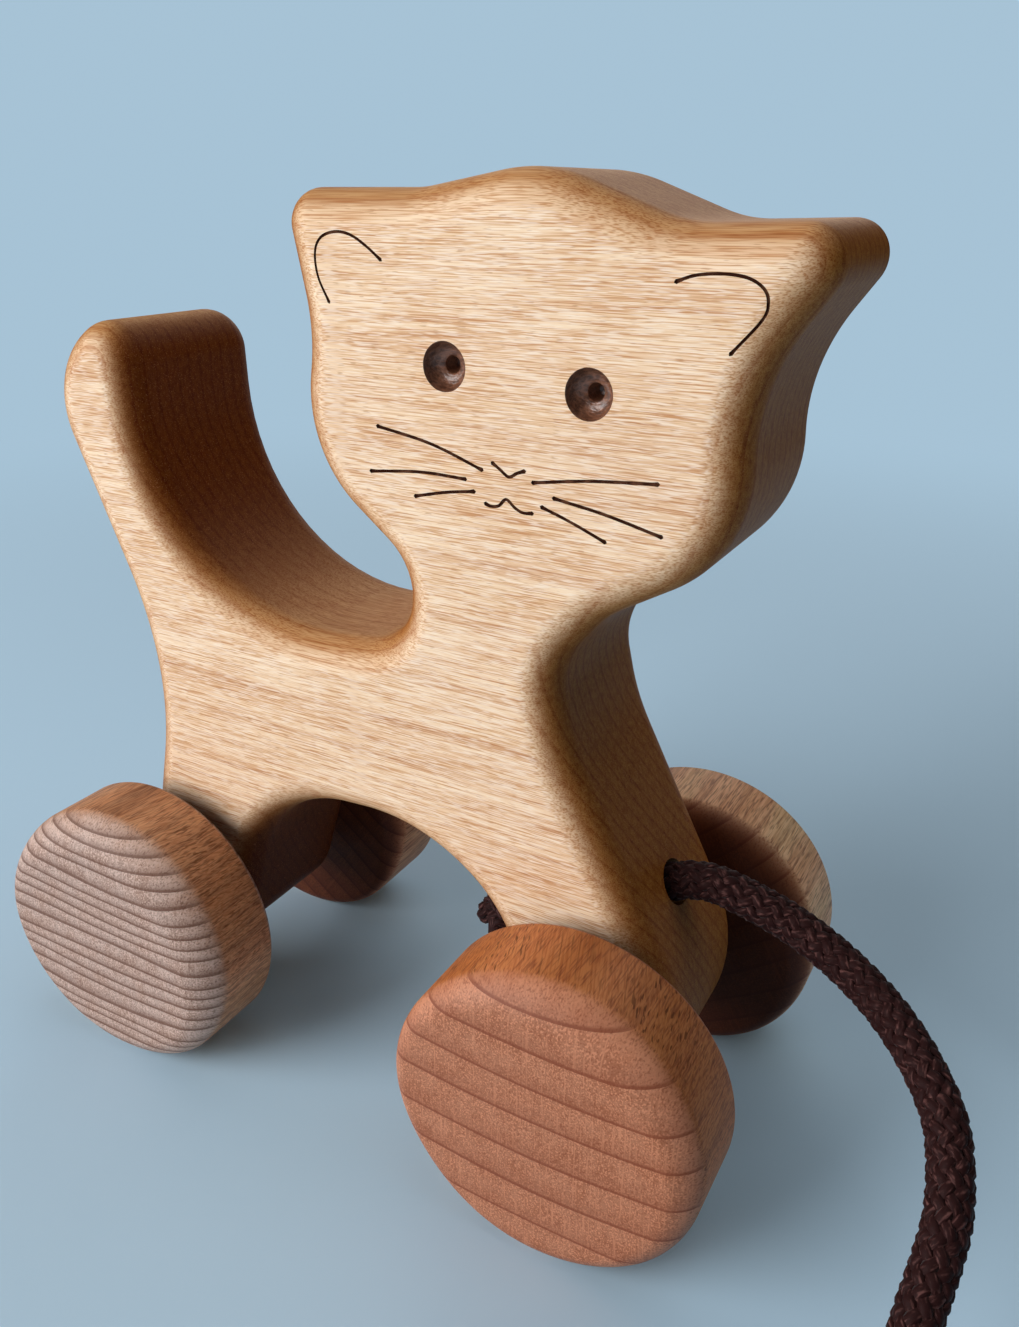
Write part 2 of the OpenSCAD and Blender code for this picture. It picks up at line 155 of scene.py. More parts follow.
# Height of the cord's middle on the floor
RESTING_MM = 2.6
# The stretch of cord that shows in the main view has closer stations
SHOWN_CORD_MM = 135.0
COIL_MM = np.array([47.5, -76.0])
COIL_START_R_MM = 31.25
COIL_TURNS = 2.5
TIE_ANGLE = math.radians(215)
# The coil's inner end bends by this angle into its knot
END_TURN = math.radians(75)
END_KNOT_MM = np.array([42.23, -64.17, 5.5])


def rgb(code):
    """Linear red, green and blue of an sRGB hex colour."""
    parts = [int(code[i : i + 2], 16) / 255 for i in (1, 3, 5)]
    return [p / 12.92 if p <= 0.04045 else ((p + 0.055) / 1.055) ** 2.4 for p in parts]


def colour(name, description, code):
    """A colour of the panel, with an sRGB hex default."""
    return bpy.props.FloatVectorProperty(
        name=name, description=description, default=rgb(code),
        subtype="COLOR", size=3, min=0, max=1,
    )


def length(name, description, mm):
    """A length of the panel, with a default in millimetres."""
    return bpy.props.FloatProperty(
        name=name, description=description, default=mm * MM,
        subtype="DISTANCE", unit="LENGTH", min=0, precision=5,
    )


class PullCatWood(bpy.types.PropertyGroup):
    """Tones of the wood, and sizes of the drawn and drilled face."""

    pale: colour("Pale wood", "Pale tone of the body's wood", "#FADBB9")
    warm: colour("Warm wood", "Warm tone of the body's broad bands", "#EDC59C")
    line: colour("Growth lines", "Thin lines between the years of the body's wood", "#B87D50")
    edge: colour("Edges", "Long grain along the body's rounded edges", "#CC9760")
    end: colour("End grain", "Oil-soaked end grain where the outline cuts the fibres", "#A86B2C")
    # Painted shade: a darker tone for the tail's inner bend and the arch, where the head and the
    # body keep the light off
    deep: colour("Hollows", "Darkening of the tail's bend and the arch by more oil", "#BFA486")
    burnt: colour("Burnt lines", "Charred wood of the drawn face", "#33190F")
    drilled: colour("Drilled eyes", "Rubbed and stained wood in the eyes", "#875840")
    line_width: length("Line width", "Width of a burnt line at the ears", 0.31)
    line_depth: length("Line depth", "Depth of a burnt line", 0.16)
    whisker_share: bpy.props.FloatProperty(
        name="Whisker share", description="Width of a whisker over that of an ear arc",
        default=1.2, min=0.5, max=3,
    )


class PullCatWheels(bpy.types.PropertyGroup):
    """Tones of the four wheels and sizes of their rims."""

    red_face: colour("Reddish end grain", "Faces of the near front and far rear wheels", "#B2775A")
    red_line: colour("Reddish rings", "Growth rings of all but the near rear wheel", "#84452E")
    grey_face: colour("Greyish end grain", "Face of the near rear wheel", "#B79C8F")
    grey_line: colour("Greyish rings", "Growth rings of the near rear wheel", "#6A4434")
    brown_face: colour("Brown end grain", "Faces of the far front wheel", "#925A3C")
    red_tread: colour("Reddish tread", "Long grain round the near front wheel", "#CA814B")
    grey_tread: colour("Greyish tread", "Long grain round the rear wheels", "#D8A278")
    # Partly painted light: the far front wheel's own tone, made paler to stand in for light that
    # the body keeps off its tread
    pale_tread: colour("Pale tread", "Long grain round the far front wheel", "#FFCA9E")
    # Painted shade: darkens the wheels' inner faces, which the body keeps in shadow
    inner: colour("Inner faces", "Darkening of the faces that no hand polishes", "#8E7561")
    fleck: colour("Flecks", "Short dark flecks in the treads", "#6B3B1E")
    rim: length("Rim rounding", "Usual rounding of a wheel's rims", 2.9)


class PullCatCord(bpy.types.PropertyGroup):
    """Tones and sizes of the braided cord and of the twine."""

    yarn: colour("Cord", "Dyed yarn of the braided cord", "#260B0A")
    # Partly painted highlight: paler fibres at random, which also stand in for light caught on the
    # strands' tops
    worn: colour("Worn yarn", "Rubbed fibres on the tops of the cord's strands", "#6A4541")
    twine: colour("Twine", "Undyed twine of the tie", "#A98D66")
    thickness: length("Cord diameter", "Diameter of the braided cord", CORD_MM)
    lay: length("Lay", "Length of one full turn of a strand", 20.0)
    twine_thickness: length("Twine diameter", "Diameter of the twine", 1.2)


def wood(context):
    return context.scene.pull_cat_wood


def wheels(context):
    return context.scene.pull_cat_wheels


def cord(context):
    return context.scene.pull_cat_cord


# Mesh and curve tools


def unit(v):
    """Each vector divided by its length."""
    return v / np.linalg.norm(v, axis=-1, keepdims=True)


def smooth_path(points, step):
    """A curve through the points with stations about step apart.

    Each span is a cubic whose end slopes are half of the way between the neighbouring points.
    """
    padded = np.vstack([2 * points[0] - points[1], points, 2 * points[-1] - points[-2]])
    a, b, c, d = padded[:-3, None], padded[1:-2, None], padded[2:-1, None], padded[3:, None]
    t = np.linspace(0, 1, 24, endpoint=False)[None, :, None]
    square, cube = 2 * a - 5 * b + 4 * c - d, 3 * b - a - 3 * c + d
    spans = 0.5 * (2 * b + (c - a) * t + square * t**2 + cube * t**3)
    return stations(np.vstack([spans.reshape(-1, points.shape[1]), points[-1:]]), step)


def stations(path, step):
    """The path again, with stations evenly about step apart."""
    along = distance(path)
    even = np.linspace(0, along[-1], max(2, round(along[-1] / step) + 1))
    return np.stack([np.interp(even, along, path[:, k]) for k in range(path.shape[1])], axis=1)


def distance(path):
    """Length along the path at each of its points."""
    return np.concatenate([[0], np.cumsum(np.linalg.norm(np.diff(path, axis=0), axis=1))])


def carried_frame(path):
    """Tangent, side and up at each station: one station's side, made square to the next tangent."""
    ahead = unit(np.gradient(path, axis=0))
    least = np.eye(3)[np.argmin(np.abs(ahead[0]))]
    side = np.empty_like(path)
    side[0] = unit(np.cross(ahead[0], least))
    for i in range(1, len(path)):
        side[i] = unit(side[i - 1] - ahead[i] * (side[i - 1] @ ahead[i]))
    return ahead, side, np.cross(ahead, side)


def grid_faces(rows, columns):
    """Quads over a grid that closes on itself across its columns, and the rings at its two ends."""
    i, j = np.meshgrid(np.arange(rows - 1), np.arange(columns), indexing="ij")
    here, there = i * columns + j, i * columns + (j + 1) % columns
    quads = np.stack([here, there, there + columns, here + columns], axis=-1).reshape(-1, 4)
    ring = np.arange(columns)
    return quads, ring[::-1], (rows - 1) * columns + ring


def mesh_of(name, points, groups, uv=None, materials=()):
    """A smooth-shaded mesh from points and groups of faces, each an array with one face a row."""
    mesh = bpy.data.meshes.new(name)
    corners = np.concatenate([g.ravel() for g in groups]).astype(np.int32)
    counts = np.concatenate([np.full(len(g), g.shape[1]) for g in groups])
    starts = np.concatenate([[0], np.cumsum(counts)[:-1]]).astype(np.int32)
    mesh.vertices.add(len(points))
    mesh.vertices.foreach_set("co", np.ascontiguousarray(points, np.float32).ravel())
    mesh.loops.add(len(corners))
    mesh.loops.foreach_set("vertex_index", corners)
    mesh.polygons.add(len(counts))
    mesh.polygons.foreach_set("loop_start", starts)
    mesh.polygons.foreach_set("use_smooth", np.ones(len(counts), bool))
    if uv is not None:
        layer = mesh.uv_layers.new(name="along_and_round")
        layer.data.foreach_set("uv", uv.astype(np.float32).ravel())
    mesh.update(calc_edges=True)
    if mesh.validate():
        raise RuntimeError(name + " has faces that don't hold")
    for material in materials:
        mesh.materials.append(material)
    return mesh


def loft(name, rings, materials=()):
    """A closed mesh over rings of points, an array of rings by points by three."""
    quads, first, last = grid_faces(*rings.shape[:2])
    groups = [quads, first[None], last[None]]
    return mesh_of(name, rings.reshape(-1, 3), groups, materials=materials)


def tubes(name, rings, materials=()):
    """Many closed tubes in one mesh, from an array of tubes by rings by points by three.

    U is the distance along a tube and V the share of a turn round it.
    """
    many, rows, columns = rings.shape[:3]
    quads, first, last = grid_faces(rows, columns)
    first_point = (np.arange(many) * rows * columns)[:, None, None]
    faces = (quads, first[None], last[None])
    groups = [(g[None] + first_point).reshape(-1, g.shape[1]) for g in faces]
    along = np.stack([distance(middle) for middle in rings.mean(axis=2)])
    row, column = np.arange(rows - 1)[:, None, None], np.arange(columns)[None, :, None]
    row_of = np.broadcast_to(row + np.array([0, 0, 1, 1]), (rows - 1, columns, 4))
    round_of = np.broadcast_to(column + np.array([0, 1, 1, 0]), row_of.shape) / columns
    quad_uv = np.stack(np.broadcast_arrays(along[:, row_of], round_of), axis=-1)
    turn = np.tile(np.arange(columns) / columns, many)
    cap_uv = [np.stack([np.repeat(along[:, end], columns), turn], axis=-1) for end in (0, -1)]
    uv = np.concatenate([quad_uv.reshape(-1, 2), *cap_uv])
    return mesh_of(name, rings.reshape(-1, 3), groups, uv, materials)


def piece(name, mesh, body, slot, *nodes):
    """An object for a mesh: it rides on a body and stands for the nodes, which it hides. The slot
    is not used.
    """
    found = bpy.data.objects.new(name, mesh)
    bpy.context.scene.collection.objects.link(found)
    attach(found, body)
    if nodes:
        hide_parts(*nodes)
    return found


# Material tools

# Sockets of a colour Mix node
FACTOR, FIRST, SECOND, RESULT = 0, 6, 7, 2
# Blend of a layer that darkens what is under it
DARKER = "MULTIPLY"


def add(tree, kind, links=None, **settings):
    """A node of that kind with its settings, and its inputs linked or set."""
    made = tree.nodes.new(kind)
    for name, value in settings.items():
        setattr(made, name, value)
    for socket, value in (links or {}).items():
        if isinstance(value, bpy.types.NodeSocket):
            tree.links.new(value, made.inputs[socket])
        else:
            made.inputs[socket].default_value = value
    return made


def finish_named(name, roughness, specular=0.5, **more):
    """A material with a Principled surface: the material, its node tree and the surface node."""
    material = bpy.data.materials.new(name)
    material.use_nodes = True
    tree = material.node_tree
    tree.nodes.clear()
    surface = {"Roughness": roughness, "Specular IOR Level": specular, **more}
    shader = add(tree, "ShaderNodeBsdfPrincipled", surface)
    add(tree, "ShaderNodeOutputMaterial", {"Surface": shader.outputs[0]})
    return material, tree, shader


def coated(tree, shader, shade, relief=None, strength=0.0, deep_mm=0.0):
    """Gives a surface its shade and, where there is one, the relief of a pattern."""
    tree.links.new(shade, shader.inputs["Base Color"])
    if relief is not None:
        bump = {"Height": relief, "Strength": strength, "Distance": deep_mm * MM}
        tree.links.new(add(tree, "ShaderNodeBump", bump).outputs[0], shader.inputs["Normal"])


def opaque(shade):
    return (*shade, 1.0)


def paler(shade, times, plus=0.0):
    """A lighter colour: each part times one number plus another, at most 1."""
    return [min(1.0, times * part + plus) for part in shade]


def drawn_out(tree, where, sizes_mm, detail=2.0, roughness=0.5):
    """Noise whose cells have these sizes in millimetres along X, Y and Z."""
    scale = [1 / (size * MM) for size in sizes_mm]
    scaled = add(tree, "ShaderNodeMapping", {"Vector": where, "Scale": scale}).outputs[0]
    cells = {"Vector": scaled, "Scale": 1.0, "Detail": detail, "Roughness": roughness}
    return add(tree, "ShaderNodeTexNoise", cells).outputs[0]


def shown(tree, value, low, high, *masks, most=1.0, least=0.0):
    """How strongly a value shows: eased from least at low to most at high, times all the masks."""
    span = {"Value": value, "From Min": low, "From Max": high, "To Min": least, "To Max": most}
    amount = add(tree, "ShaderNodeMapRange", span, interpolation_type="SMOOTHSTEP").outputs[0]
    for mask in masks:
        product = {0: amount, 1: mask}
        amount = add(tree, "ShaderNodeMath", product, operation="MULTIPLY").outputs[0]
    return amount


def painted(tree, ground, *layers):
    """A ground colour with layers on it in turn: a colour, how strongly it shows, and its blend."""
    shade = opaque(ground)
    for over, amount, *blend in layers:
        mix = {FACTOR: amount, FIRST: shade, SECOND: opaque(over)}
        kind = blend[0] if blend else "MIX"
        made = add(tree, "ShaderNodeMix", mix, data_type="RGBA", blend_type=kind)
        shade = made.outputs[RESULT]
    return shade


def facing(tree, place, axis):
    """How far the surface turns to an axis, either way: 1 where it faces along it, or else less."""
    apart = add(tree, "ShaderNodeSeparateXYZ", {"Vector": place.outputs["Normal"]})
    return add(tree, "ShaderNodeMath", {0: apart.outputs[axis]}, operation="ABSOLUTE").outputs[0]


def years(tree, where, straight, bent, bow_mm, ring_mm, sway_mm, slow_mm):
    """How far a point is through its year of growth, from 0 to 1.

    A ring's number is the straight coordinate, less the bow of its arc over the bent one, over the
    rings' spacing. Slow noise with cells of slow_mm sways the rings by sway_mm.
    """
    sway = {0: drawn_out(tree, where, slow_mm, detail=1.0), 1: sway_mm * MM, 2: straight}
    swayed = add(tree, "ShaderNodeMath", sway, operation="MULTIPLY_ADD").outputs[0]
    ring = bent
    for operation, *numbers in (
        ("MULTIPLY", bent),
        ("MULTIPLY_ADD", -0.5 / (bow_mm * MM), swayed),
        ("DIVIDE", ring_mm * MM),
        ("FRACT",),
    ):
        links = {0: ring, **dict(enumerate(numbers, 1))}
        ring = add(tree, "ShaderNodeMath", links, operation=operation).outputs[0]
    return ring


def oiled_birch(look):
    """Birch, sanded and oiled.

    That gives the eye a pale satin face with very fine fibres along X and soft growth lines, golden
    rounded edges, and dark end grain with the rings of a flat-sawn board, which run along the
    outline. Real fibres are too fine to show, so they are drawn several times as thick.
    """
    material, tree, shader = finish_named("Birch, sanded and oiled", roughness=0.5, specular=0.1)
    place = add(tree, "ShaderNodeTexCoord")
    where = place.outputs["Object"]
    # The tree's pith ran along X at the height of the eyes
    pith = {"Vector": where, "Location": (0, 0, -0.1)}
    from_pith = add(tree, "ShaderNodeMapping", pith).outputs[0]
    x, y, z = add(tree, "ShaderNodeSeparateXYZ", {"Vector": from_pith}).outputs
    turned = add(tree, "ShaderNodeSeparateXYZ", {"Vector": place.outputs["Normal"]}).outputs["X"]
    on_face = shown(tree, facing(tree, place, "Y"), 0.94, 1.0)
    rounded = shown(tree, facing(tree, place, "Y"), 0.6, 1.0, most=0.0, least=0.9)
    soaked = shown(tree, facing(tree, place, "X"), 0.1, 0.95, most=0.95)
    # Painted shade: masks for the rear's +X faces, the tail's inner bend, and below them the arch
    rear = shown(tree, x, 0.0, -0.03)
    hollow_shade = shown(tree, turned, 0.1, 0.95, rear)
    arch_shade = shown(tree, z, -0.04, -0.06, hollow_shade)
    broad = drawn_out(tree, from_pith, (15, 5, 4), detail=3.0)
    streaks = drawn_out(tree, where, (30, 0.7, 0.7))
    patches = drawn_out(tree, where, (24, 2.5, 2.5))
    faint = shown(tree, patches, 0.38, 0.62, most=0.4, least=0.06)
    plain = add(tree, "ShaderNodeMath", {0: soaked, 1: 0.55}, operation="MULTIPLY").outputs[0]
    seen = add(tree, "ShaderNodeMath", {0: faint, 1: plain}, operation="MAXIMUM").outputs[0]
    rings = dict(bow_mm=110.0, ring_mm=2.0, sway_mm=5.0, slow_mm=(170, 26, 26))
    year = years(tree, where, y, z, **rings)
    mottle = drawn_out(tree, where, (7, 0.5, 0.9), detail=3.0, roughness=0.65)
    fibres = drawn_out(tree, where, (7.0, 0.12, 0.12), detail=1.0)
    pores = drawn_out(tree, where, (1.6, 0.14, 0.14), detail=0.5)
    glints = drawn_out(tree, where, (1.9, 0.12, 0.12), detail=0.5)
    shade = painted(
        tree,
        look.pale,
        (look.warm, shown(tree, broad, 0.36, 0.66, most=0.7)),
        (look.edge, rounded),
        (look.end, soaked),
        # Painted shade in the tail's bend and in the arch
        (look.deep, hollow_shade, DARKER),
        (look.deep, arch_shade, DARKER),
        (rgb("#D8AC7E"), shown(tree, streaks, 0.42, 0.68, most=0.32), DARKER),
        (rgb("#C8935F"), shown(tree, year, 0.7, 0.96, seen), DARKER),
        (rgb("#C79F70"), shown(tree, mottle, 0.4, 0.66, plain), DARKER),
        (rgb("#D2A97F"), shown(tree, fibres, 0.42, 0.68, most=0.8), DARKER),
        (look.line, shown(tree, pores, 0.63, 0.73, most=0.5)),
        # Painted highlight: pale glints on the face stand in for the sheen of the fibres
        (rgb("#FFEAD6"), shown(tree, glints, 0.46, 0.7, on_face, most=0.62)),
    )
    coated(tree, shader, shade, fibres, strength=0.35, deep_mm=0.04)
    return material


def charred_wood(look):
    """Wood charred by a hot point: almost black and dull, browner where the point went fast."""
    material, tree, shader = finish_named("Charred wood", roughness=0.85, specular=0.05)
    where = add(tree, "ShaderNodeTexCoord").outputs["Object"]
    speed = drawn_out(tree, where, (1.2, 1.2, 1.2))
    fast = shown(tree, speed, 0.45, 0.7, most=0.35)
    coated(tree, shader, painted(tree, look.burnt, (look.drilled, fast)))
    return material


def drilled_wood(look):
    """Bored wood rubbed with stain: brown, with torn fibres."""
    material, tree, shader = finish_named("Bored wood, stained", roughness=0.3, specular=0.8)
    where = add(tree, "ShaderNodeTexCoord").outputs["Object"]
    torn = drawn_out(tree, where, (0.9, 0.35, 0.35), detail=3.0, roughness=0.65)
    stained = shown(tree, torn, 0.35, 0.7, most=0.8)
    shade = painted(tree, look.drilled, (look.burnt, stained))
    coated(tree, shader, shade, torn, strength=0.6, deep_mm=0.2)
    return material


def turned_beech(
    name, look, face, line, tread, centre, out,
    ring_mm, late_share, bow_mm, sway_mm, lean, slant, flecked,
):
    """Beech turned across the grain and oiled.

    That gives the eye reddish or greyish end-grain faces, whose years darken slowly and stop at a
    thin line, with tiny pores and pale rays, and orange treads with short dark flecks across them,
    at a slant to Y. Real pores are too fine to show, so they are drawn several times as wide.
    """
    material, tree, shader = finish_named(name, roughness=0.5, specular=0.2)
    place = add(tree, "ShaderNodeTexCoord")
    x, y, z = centre
    moved = {"Vector": place.outputs["Object"], "Location": (-x, -y, z), "Scale": (1, 1, -1)}
    middle = add(tree, "ShaderNodeMapping", moved).outputs[0]
    leant = {"Vector": middle, "Rotation": (0, math.radians(lean), 0)}
    where = add(tree, "ShaderNodeMapping", leant).outputs[0]
    slanted = {"Vector": where, "Rotation": (0, 0, math.radians(slant))}
    grain = add(tree, "ShaderNodeMapping", slanted).outputs[0]
    apart = add(tree, "ShaderNodeSeparateXYZ", {"Vector": where}).outputs
    year = years(tree, where, apart["Z"], apart["X"], -bow_mm, ring_mm, sway_mm, (45, 300, 8))
    turned = add(tree, "ShaderNodeSeparateXYZ", {"Vector": place.outputs["Normal"]}).outputs["Y"]
    turned_out = facing(tree, place, "Y")
    on_face = shown(tree, turned_out, 0.02, 0.9)
    on_tread = shown(tree, on_face, 0.0, 0.7, most=0.0, least=1.0)
    seen = shown(tree, on_face, 0.0, 1.0, least=0.35)
    rim_highlight = shown(tree, turned_out, 0.74, 0.95, most=0.0, least=0.5)
    faded = drawn_out(tree, where, (7, 60, 7))
    patches = drawn_out(tree, where, (3.5, 30, 3.5), detail=3.0)
    dots = drawn_out(tree, where, (0.22, 2.6, 0.22), detail=1.0)
    rays = drawn_out(tree, where, (0.24, 6.0, 8.0), detail=1.0)
    cells = drawn_out(tree, where, (0.21, 2.0, 0.24), detail=0.5)
    pale = {
        0: shown(tree, rays, 0.58, 0.68, on_face, most=0.6),
        1: shown(tree, cells, 0.48, 0.68, on_face, most=0.8),
    }
    # The last growth of a year ends in a line of about half a millimetre
    dark = {
        0: shown(tree, year, 0.3, 1.0, seen, most=late_share),
        1: shown(tree, year, 1 - 0.75 / ring_mm, 1 - 0.2 / ring_mm, seen, most=0.85),
    }
    fibres = drawn_out(tree, grain, (0.22, 6.0, 0.22), detail=1.0)
    tracts = shown(tree, drawn_out(tree, where, (5, 40, 5), detail=1.0), 0.35, 0.65, least=0.35)
    flecks = drawn_out(tree, grain, (0.27, 7.0, 0.27), detail=0.5)
    shade = painted(
        tree,
        tread,
        (paler(tread, 1.25, 0.04), shown(tree, faded, 0.42, 0.66, most=0.7)),
        (face, on_face),
        # Painted highlight: a paler band over the rounded rims, where light catches them
        (paler(face, 1.45, 0.03), shown(tree, turned_out, 0.2, 0.6, rim_highlight)),
        (rgb("#CFA680"), shown(tree, patches, 0.35, 0.7, most=0.4), DARKER),
        (line, shown(tree, dots, 0.47, 0.7, most=0.6)),
        (paler(face, 1.5), add(tree, "ShaderNodeMath", pale, operation="MAXIMUM").outputs[0]),
        (line, add(tree, "ShaderNodeMath", dark, operation="MAXIMUM").outputs[0]),
        (rgb("#B98158"), shown(tree, fibres, 0.4, 0.66, on_tread, most=0.4), DARKER),
        (look.fleck, shown(tree, flecks, 0.62, 0.69, tracts, on_tread, most=flecked)),
        # Painted shade on the faces that turn towards the body
        (look.inner, shown(tree, turned, -0.3 * out, -0.9 * out), DARKER),
    )
    coated(tree, shader, shade, dots, strength=0.35, deep_mm=0.05)
    return material


def plain_dowel(look):
    """Birch dowel, bare: pale, with fibres along Y."""
    material, tree, shader = finish_named("Birch dowel, bare", roughness=0.6)
    where = add(tree, "ShaderNodeTexCoord").outputs["Object"]
    fibres = drawn_out(tree, where, (0.4, 9, 0.4), detail=3.0)
    coated(tree, shader, painted(tree, look.warm, (look.edge, shown(tree, fibres, 0.35, 0.7))))
    return material


def spun_yarn(name, shade, pale, sheen):
    """Spun cotton or jute: dull, with a soft sheen and fibres that run along each strand."""
    soft = {"Sheen Weight": sheen, "Sheen Roughness": 0.4}
    material, tree, shader = finish_named(name, roughness=0.7, specular=0.15, **soft)
    where = add(tree, "ShaderNodeTexCoord").outputs["UV"]
    # Cells of 1.2 mm along a strand, and nine of them round it
    fibre = {"Vector": where, "Scale": [1 / (1.2 * MM), 9.0, 1.0]}
    along = add(tree, "ShaderNodeMapping", fibre).outputs[0]
    cells = {"Vector": along, "Scale": 1.0, "Detail": 3.0}
    noise = add(tree, "ShaderNodeTexNoise", cells).outputs[0]
    mixed = painted(tree, shade, (pale, shown(tree, noise, 0.5, 0.78)))
    coated(tree, shader, mixed, noise, strength=0.6, deep_mm=0.12)
    return material


# Camera


class PULLCAT_OT_camera(bpy.types.Operator):
    """Sets up the camera at the photograph's viewing angle."""

    bl_idname = "pull_cat.camera"
    bl_label = "Camera"

    def execute(self, context):
        image_height, focal_pixels, film = 1327, 1089.1, 36.0
        right = (0.872998, 0.487712, 0.003304)
        up = (-0.195650, 0.343989, 0.918364)
        ahead = (-0.446761, 0.802377, -0.395722)
        where = (0.078312, -0.113089, 0.119822)
        data = bpy.data.cameras.new("photo_view")
        data.sensor_width = film
        data.lens = focal_pixels / image_height * film
        data.clip_start = 0.005
        camera = bpy.data.objects.new("photo_view", data)
        axes = Matrix((right, up, [-a for a in ahead])).transposed()
        camera.matrix_world = Matrix.Translation(where) @ axes.to_4x4()
        context.scene.collection.objects.link(camera)
        context.scene.camera = camera
        return {"FINISHED"}


# Cord


def helices(path, radius, count, lay, sense, weave, half_width, half_height, sides):
    """Strands that wind round a path: an array of strands by stations by points round a strand.

    Strand k is at the angle 2 pi (sense * distance / lay + k / count) round the path. In a braid it
    rises and falls by weave as it goes over one and under one of the strands of the other sense.
    """
    ahead, side, up = carried_frame(path)
    along = distance(path)
    angle = sense * 2 * math.pi * along / lay + 2 * math.pi * np.arange(count)[:, None] / count
    rise = radius + sense * weave * np.cos(2 * math.pi * count * along / lay)
    out = np.cos(angle)[..., None] * side + np.sin(angle)[..., None] * up
    middle = path + rise[:, None] * out
    run = unit(np.gradient(middle, axis=1))
    across = unit(np.cross(run, out))
    turn = 2 * math.pi * (np.arange(sides) + 0.5) / sides
    tall, wide = half_height * np.cos(turn), half_width * np.sin(turn)
    section = tall[:, None] * out[:, :, None] + wide[:, None] * across[:, :, None]
    return middle[:, :, None] + section


def braid(name, path, thickness, lay, materials):
    """A braided cord on a path: eight strands each way over and under one another, round a core."""
    strand = dict(count=8, lay=lay, radius=0.37 * thickness, weave=0.045 * thickness, sides=6)
    section = dict(half_width=0.145 * thickness, half_height=0.1 * thickness)
    there = helices(path, sense=1, **strand, **section)
    back = helices(path, sense=-1, **strand, **section)
    half, off_middle = 0.36 * thickness, 0.001 * thickness
    core = helices(path, off_middle, 1, lay, 1, 0.0, half, half, 6)
    return tubes(name, np.concatenate([there, back, core]), materials)


def coil_path():
    """A flat spiral, clockwise from above, in millimetres.

    Its radius falls by the cord's thickness each turn, and it rises by a bell curve over the tie.
    """
    lift, spread = 1.3, 0.6
    turned = np.linspace(0, 2 * math.pi * COIL_TURNS, 220)
    radius = COIL_START_R_MM - CORD_MM * turned / (2 * math.pi)
    flat = COIL_MM + radius[:, None] * np.stack([np.cos(turned), -np.sin(turned)], axis=1)
    off_tie = (-turned - TIE_ANGLE + math.pi) % (2 * math.pi) - math.pi
    return np.column_stack([flat, RESTING_MM + lift * np.exp(-((off_tie / spread) ** 2))])


def end_path():
    """From the coil's inner end to the knot, in millimetres: an arc to the right that climbs."""
    bend, knot_height = 10.5, 5.0
    turned = np.linspace(0, END_TURN, 24)
    start = COIL_MM - [COIL_START_R_MM - CORD_MM * COIL_TURNS, 0.0]
    flat = start + bend * np.stack([1 - np.cos(turned), np.sin(turned)], axis=1)
    return np.column_stack([flat, np.linspace(RESTING_MM, knot_height, len(flat))])


def cord_path():
    """The whole cord in metres: through the hole, down in one bend, round the coil to its knot."""
    past_chest, fine, coarse = 1.5, 0.45, 0.68
    reach = np.linspace(-KNOT_REACH_MM, CHEST_REACH_MM + past_chest, 5)
    inside, coil = HOLE_MIDDLE_MM + reach[:, None] * HOLE_AXIS, coil_path()
    # Some points of the coil's start lead the bend into it
    down = smooth_path(np.vstack([inside, ROUTE_MM, coil[2:12:3]]), 1.0)
    path = np.vstack([down, coil[13:], end_path()[2:]])
    curve = smooth_path(stations(path, 3.0), 0.2)
    along = distance(curve)
    near = np.arange(0.0, SHOWN_CORD_MM, fine)
    rest = along[-1] - SHOWN_CORD_MM
    at = np.concatenate([near, np.linspace(SHOWN_CORD_MM, along[-1], round(rest / coarse))])
    return np.stack([np.interp(at, along, curve[:, k]) for k in range(3)], axis=1) * MM


def overhand(middle, axis, across, size, reach):
    """An overhand knot in metres: a trefoil, cut open at one lobe and led out along its axis.

    The trefoil winds twice round the axis, on a ring of twice the size, while it goes three times
    round the ring's own section.
    """
    taller, bend, step = 1.15, 0.75, 0.42
    t = np.linspace(0.2, 1.8, 60) * math.pi + math.pi / 3
    ring = 2 + np.cos(3 * t)
    spread = np.stack([ring * np.cos(2 * t), ring * np.sin(2 * t), taller * np.sin(3 * t)], axis=1)
    knot = size * spread @ np.stack([across, np.cross(axis, across), axis])
    lead = reach * np.array([1, bend, -bend, -1])[:, None] * axis
    return (middle + smooth_path(np.vstack([lead[:2], knot, lead[2:]]), step)) * MM


class PULLCAT_OT_cord(bpy.types.Operator):
    """Braids the pull cord from its stopper knot through the chest to the coil."""

    bl_idname = "pull_cat.cord"
    bl_label = "Pull cord"

    def execute(self, context):
        look = cord(context)
        # The worn tone is partly painted highlight on the tops of the strands
        yarn = spun_yarn("Braided cotton cord, dyed brown", look.yarn, look.worn, 0.05)
        path = cord_path()
        mesh = braid("braided_cord", path, look.thickness, look.lay, [yarn])
        laid = piece("braided_cord", mesh, "cat", "cord", "pull_cord", "cord_coil")
        low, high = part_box("stopper_knot")
        stopper = (np.array(low) + np.array(high)) / 2 / MM
        end_axis = -np.array([math.sin(END_TURN), math.cos(END_TURN), 0.0])
        for name, node, middle, axis, across in (
            ("overhand_stopper", "stopper_knot", stopper, HOLE_AXIS, (0.0, 1.0, 0.0)),
            ("overhand_end", "cord_end_knot", END_KNOT_MM, end_axis, (0.0, 0.0, 1.0)),
        ):
            line = overhand(middle, axis, np.array(across), size=1.3, reach=5.5)
            tied = braid(name, line, 0.8 * look.thickness, look.lay, [yarn])
            piece(name, tied, "cat", "cord", node)
        return {"FINISHED"}


